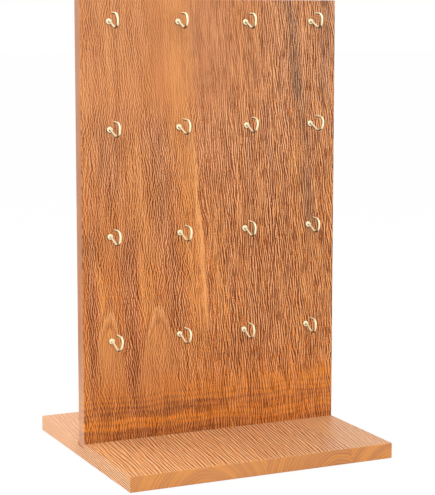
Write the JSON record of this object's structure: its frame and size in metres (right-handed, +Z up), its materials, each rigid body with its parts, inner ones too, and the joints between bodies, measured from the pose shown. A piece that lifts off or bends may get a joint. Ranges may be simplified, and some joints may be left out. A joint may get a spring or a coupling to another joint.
{
  "type": "jewelry stand",
  "caption": "Free-standing wooden jewelry stand: an upright board set in a base board, with rows of screw-in brass hooks on its front to hang necklaces and bracelets from.",
  "frame": {"origin": "middle of the base board's underside", "axes": "+Z up, +X to the right and +Y to the back as seen by someone facing the hooks"},
  "size_m": [0.229, 0.205, 0.3697],
  "materials": {
    "base_wood": "satin oil",
    "board_wood": "satin oil",
    "screw_steel": "zinc plated",
    "hook_brass": "polished",
    "collar_brass": "polished"
  },
  "bodies": {
    "stand": {"base_board": "base_wood", "back_board": "board_wood", "base_screw_1": "screw_steel", "base_screw_2": "screw_steel", "base_screw_3": "screw_steel"},
    "collar_r1_c1": {"collar_r1_c1": "collar_brass"},
    "hook_r1_c1": {"hook_r1_c1": "hook_brass"},
    "collar_r1_c2": {"collar_r1_c2": "collar_brass"},
    "hook_r1_c2": {"hook_r1_c2": "hook_brass"},
    "collar_r1_c3": {"collar_r1_c3": "collar_brass"},
    "hook_r1_c3": {"hook_r1_c3": "hook_brass"},
    "collar_r1_c4": {"collar_r1_c4": "collar_brass"},
    "hook_r1_c4": {"hook_r1_c4": "hook_brass"},
    "collar_r2_c1": {"collar_r2_c1": "collar_brass"},
    "hook_r2_c1": {"hook_r2_c1": "hook_brass"},
    "collar_r2_c2": {"collar_r2_c2": "collar_brass"},
    "hook_r2_c2": {"hook_r2_c2": "hook_brass"},
    "collar_r2_c3": {"collar_r2_c3": "collar_brass"},
    "hook_r2_c3": {"hook_r2_c3": "hook_brass"},
    "collar_r2_c4": {"collar_r2_c4": "collar_brass"},
    "hook_r2_c4": {"hook_r2_c4": "hook_brass"},
    "collar_r3_c1": {"collar_r3_c1": "collar_brass"},
    "hook_r3_c1": {"hook_r3_c1": "hook_brass"},
    "collar_r3_c2": {"collar_r3_c2": "collar_brass"},
    "hook_r3_c2": {"hook_r3_c2": "hook_brass"},
    "collar_r3_c3": {"collar_r3_c3": "collar_brass"},
    "hook_r3_c3": {"hook_r3_c3": "hook_brass"},
    "collar_r3_c4": {"collar_r3_c4": "collar_brass"},
    "hook_r3_c4": {"hook_r3_c4": "hook_brass"},
    "collar_r4_c1": {"collar_r4_c1": "collar_brass"},
    "hook_r4_c1": {"hook_r4_c1": "hook_brass"},
    "collar_r4_c2": {"collar_r4_c2": "collar_brass"},
    "hook_r4_c2": {"hook_r4_c2": "hook_brass"},
    "collar_r4_c3": {"collar_r4_c3": "collar_brass"},
    "hook_r4_c3": {"hook_r4_c3": "hook_brass"},
    "collar_r4_c4": {"collar_r4_c4": "collar_brass"},
    "hook_r4_c4": {"hook_r4_c4": "hook_brass"}
  },
  "joints": [
    {"name": "advance_r1_c1", "type": "slide", "parent": "stand", "child": "collar_r1_c1", "axis": [0, -1, 0], "range_m": [0, 0.005]},
    {"name": "turn_r1_c1", "type": "hinge", "parent": "collar_r1_c1", "child": "hook_r1_c1", "pos_m": [-0.08988, -0.0022, 0.35208], "axis": [0, -1, 0], "range_deg": [0, 1800]},
    {"name": "advance_r1_c2", "type": "slide", "parent": "stand", "child": "collar_r1_c2", "axis": [0, -1, 0], "range_m": [0, 0.005]},
    {"name": "turn_r1_c2", "type": "hinge", "parent": "collar_r1_c2", "child": "hook_r1_c2", "pos_m": [-0.03038, -0.0022, 0.35191], "axis": [0, -1, 0], "range_deg": [0, 1800]},
    {"name": "advance_r1_c3", "type": "slide", "parent": "stand", "child": "collar_r1_c3", "axis": [0, -1, 0], "range_m": [0, 0.005]},
    {"name": "turn_r1_c3", "type": "hinge", "parent": "collar_r1_c3", "child": "hook_r1_c3", "pos_m": [0.0299, -0.0022, 0.35157], "axis": [0, -1, 0], "range_deg": [0, 1800]},
    {"name": "advance_r1_c4", "type": "slide", "parent": "stand", "child": "collar_r1_c4", "axis": [0, -1, 0], "range_m": [0, 0.005]},
    {"name": "turn_r1_c4", "type": "hinge", "parent": "collar_r1_c4", "child": "hook_r1_c4", "pos_m": [0.0906, -0.0022, 0.35191], "axis": [0, -1, 0], "range_deg": [0, 1800]},
    {"name": "advance_r2_c1", "type": "slide", "parent": "stand", "child": "collar_r2_c1", "axis": [0, -1, 0], "range_m": [0, 0.005]},
    {"name": "turn_r2_c1", "type": "hinge", "parent": "collar_r2_c1", "child": "hook_r2_c1", "pos_m": [-0.08982, -0.0022, 0.2666], "axis": [0, -1, 0], "range_deg": [0, 1800]},
    {"name": "advance_r2_c2", "type": "slide", "parent": "stand", "child": "collar_r2_c2", "axis": [0, -1, 0], "range_m": [0, 0.005]},
    {"name": "turn_r2_c2", "type": "hinge", "parent": "collar_r2_c2", "child": "hook_r2_c2", "pos_m": [-0.0299, -0.0022, 0.2672], "axis": [0, -1, 0], "range_deg": [0, 1800]},
    {"name": "advance_r2_c3", "type": "slide", "parent": "stand", "child": "collar_r2_c3", "axis": [0, -1, 0], "range_m": [0, 0.005]},
    {"name": "turn_r2_c3", "type": "hinge", "parent": "collar_r2_c3", "child": "hook_r2_c3", "pos_m": [0.03122, -0.0022, 0.26694], "axis": [0, -1, 0], "range_deg": [0, 1800]},
    {"name": "advance_r2_c4", "type": "slide", "parent": "stand", "child": "collar_r2_c4", "axis": [0, -1, 0], "range_m": [0, 0.005]},
    {"name": "turn_r2_c4", "type": "hinge", "parent": "collar_r2_c4", "child": "hook_r2_c4", "pos_m": [0.0906, -0.0022, 0.26686], "axis": [0, -1, 0], "range_deg": [0, 1800]},
    {"name": "advance_r3_c1", "type": "slide", "parent": "stand", "child": "collar_r3_c1", "axis": [0, -1, 0], "range_m": [0, 0.005]},
    {"name": "turn_r3_c1", "type": "hinge", "parent": "collar_r3_c1", "child": "hook_r3_c1", "pos_m": [-0.09012, -0.0022, 0.1806], "axis": [0, -1, 0], "range_deg": [0, 1800]},
    {"name": "advance_r3_c2", "type": "slide", "parent": "stand", "child": "collar_r3_c2", "axis": [0, -1, 0], "range_m": [0, 0.005]},
    {"name": "turn_r3_c2", "type": "hinge", "parent": "collar_r3_c2", "child": "hook_r3_c2", "pos_m": [-0.02912, -0.0022, 0.18077], "axis": [0, -1, 0], "range_deg": [0, 1800]},
    {"name": "advance_r3_c3", "type": "slide", "parent": "stand", "child": "collar_r3_c3", "axis": [0, -1, 0], "range_m": [0, 0.005]},
    {"name": "turn_r3_c3", "type": "hinge", "parent": "collar_r3_c3", "child": "hook_r3_c3", "pos_m": [0.02978, -0.0022, 0.18129], "axis": [0, -1, 0], "range_deg": [0, 1800]},
    {"name": "advance_r3_c4", "type": "slide", "parent": "stand", "child": "collar_r3_c4", "axis": [0, -1, 0], "range_m": [0, 0.005]},
    {"name": "turn_r3_c4", "type": "hinge", "parent": "collar_r3_c4", "child": "hook_r3_c4", "pos_m": [0.08952, -0.0022, 0.18137], "axis": [0, -1, 0], "range_deg": [0, 1800]},
    {"name": "advance_r4_c1", "type": "slide", "parent": "stand", "child": "collar_r4_c1", "axis": [0, -1, 0], "range_m": [0, 0.005]},
    {"name": "turn_r4_c1", "type": "hinge", "parent": "collar_r4_c1", "child": "hook_r4_c1", "pos_m": [-0.0894, -0.0022, 0.09537], "axis": [0, -1, 0], "range_deg": [0, 1800]},
    {"name": "advance_r4_c2", "type": "slide", "parent": "stand", "child": "collar_r4_c2", "axis": [0, -1, 0], "range_m": [0, 0.005]},
    {"name": "turn_r4_c2", "type": "hinge", "parent": "collar_r4_c2", "child": "hook_r4_c2", "pos_m": [-0.02978, -0.0022, 0.09657], "axis": [0, -1, 0], "range_deg": [0, 1800]},
    {"name": "advance_r4_c3", "type": "slide", "parent": "stand", "child": "collar_r4_c3", "axis": [0, -1, 0], "range_m": [0, 0.005]},
    {"name": "turn_r4_c3", "type": "hinge", "parent": "collar_r4_c3", "child": "hook_r4_c3", "pos_m": [0.029, -0.0022, 0.09563], "axis": [0, -1, 0], "range_deg": [0, 1800]},
    {"name": "advance_r4_c4", "type": "slide", "parent": "stand", "child": "collar_r4_c4", "axis": [0, -1, 0], "range_m": [0, 0.005]},
    {"name": "turn_r4_c4", "type": "hinge", "parent": "collar_r4_c4", "child": "hook_r4_c4", "pos_m": [0.08773, -0.0022, 0.09571], "axis": [0, -1, 0], "range_deg": [0, 1800]}
  ],
  "couplings": [
    {"joint": "turn_r1_c1", "follows": "advance_r1_c1", "rad_per_m": 6283.2},
    {"joint": "turn_r1_c2", "follows": "advance_r1_c2", "rad_per_m": 6283.2},
    {"joint": "turn_r1_c3", "follows": "advance_r1_c3", "rad_per_m": 6283.2},
    {"joint": "turn_r1_c4", "follows": "advance_r1_c4", "rad_per_m": 6283.2},
    {"joint": "turn_r2_c1", "follows": "advance_r2_c1", "rad_per_m": 6283.2},
    {"joint": "turn_r2_c2", "follows": "advance_r2_c2", "rad_per_m": 6283.2},
    {"joint": "turn_r2_c3", "follows": "advance_r2_c3", "rad_per_m": 6283.2},
    {"joint": "turn_r2_c4", "follows": "advance_r2_c4", "rad_per_m": 6283.2},
    {"joint": "turn_r3_c1", "follows": "advance_r3_c1", "rad_per_m": 6283.2},
    {"joint": "turn_r3_c2", "follows": "advance_r3_c2", "rad_per_m": 6283.2},
    {"joint": "turn_r3_c3", "follows": "advance_r3_c3", "rad_per_m": 6283.2},
    {"joint": "turn_r3_c4", "follows": "advance_r3_c4", "rad_per_m": 6283.2},
    {"joint": "turn_r4_c1", "follows": "advance_r4_c1", "rad_per_m": 6283.2},
    {"joint": "turn_r4_c2", "follows": "advance_r4_c2", "rad_per_m": 6283.2},
    {"joint": "turn_r4_c3", "follows": "advance_r4_c3", "rad_per_m": 6283.2},
    {"joint": "turn_r4_c4", "follows": "advance_r4_c4", "rad_per_m": 6283.2}
  ]
}
